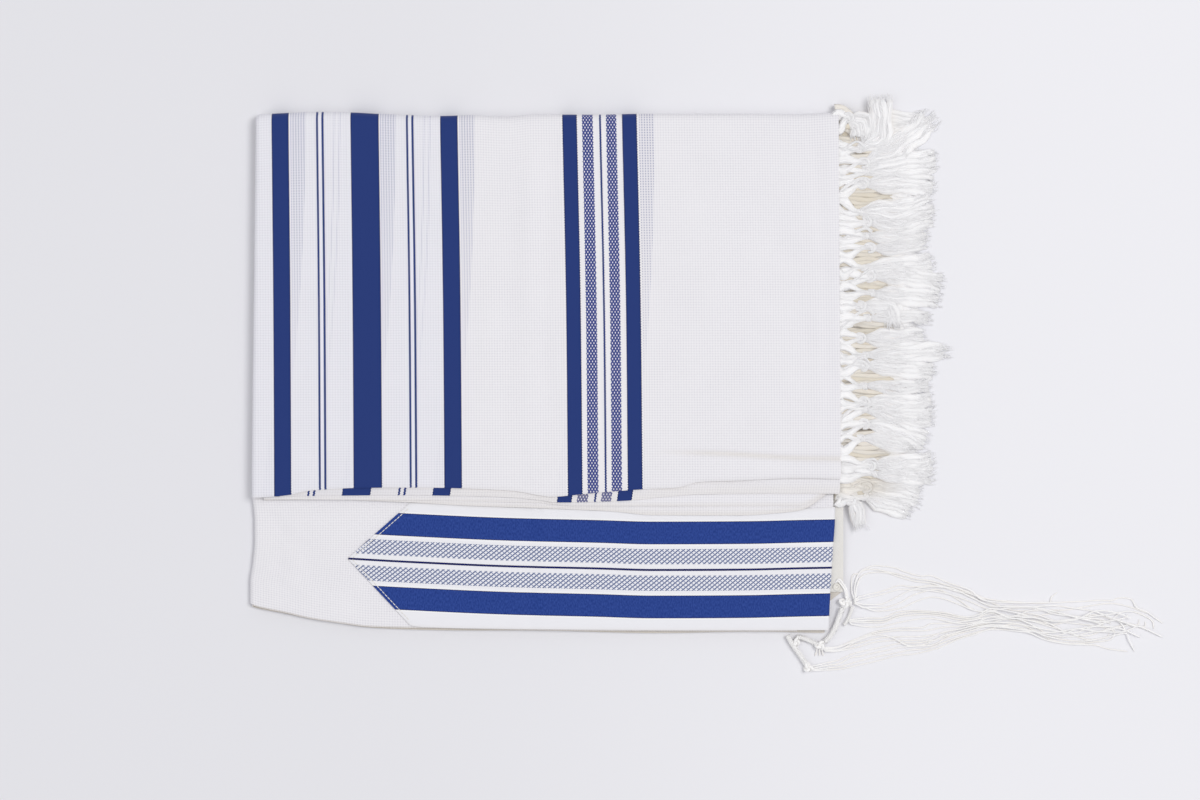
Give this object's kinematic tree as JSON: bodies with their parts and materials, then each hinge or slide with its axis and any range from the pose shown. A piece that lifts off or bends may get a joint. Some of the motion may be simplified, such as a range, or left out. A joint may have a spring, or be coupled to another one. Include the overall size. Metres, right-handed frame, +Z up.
{
  "type": "folded tallit prayer shawl",
  "caption": "Flat stack of folded striped shawl cloth with a pointed neckband along its near strip, a knotted fringe down one side and long loose corner cords.",
  "frame": {"origin": "centre of the folded stack's bounding box, fringe included and loose corner cords left out, on the surface that it rests on", "axes": "+X along the shawl's length, from the left folds to the fringed hems; +Y across its width, from the neckband strip to the back fold; +Z up"},
  "size_m": [0.6247, 0.3967, 0.014],
  "materials": {
    "shawl_cloth": "light open mock-leno wool weave, white with deep blue woven stripes",
    "neckband": "satin-faced woven band, white with deep blue stripes and a small blue lattice",
    "corner_tape": "cream herringbone twill",
    "fringe_yarn": "soft matt off-white yarn",
    "tassel_cord": "plied off-white wool cord"
  },
  "bodies": {
    "root": {"end_panel": "shawl_cloth", "second_end_panel": "shawl_cloth", "centre_fold": "shawl_cloth", "centre_panel": "shawl_cloth", "hidden_layers": "shawl_cloth", "atarah": "neckband", "corner_patch": "corner_tape", "fringe_end": "fringe_yarn", "fringe_second_end": "fringe_yarn", "tzitzit_a_loop": "tassel_cord", "tzitzit_a_knot": "tassel_cord", "tzitzit_a_winding": "tassel_cord", "tzitzit_b_knot": "tassel_cord", "tzitzit_b_winding": "tassel_cord", "tzitzit_c_winding": "tassel_cord", "tzitzit_c_knot": "tassel_cord", "tzitzit_strands": "tassel_cord"}
  },
  "joints": []
}
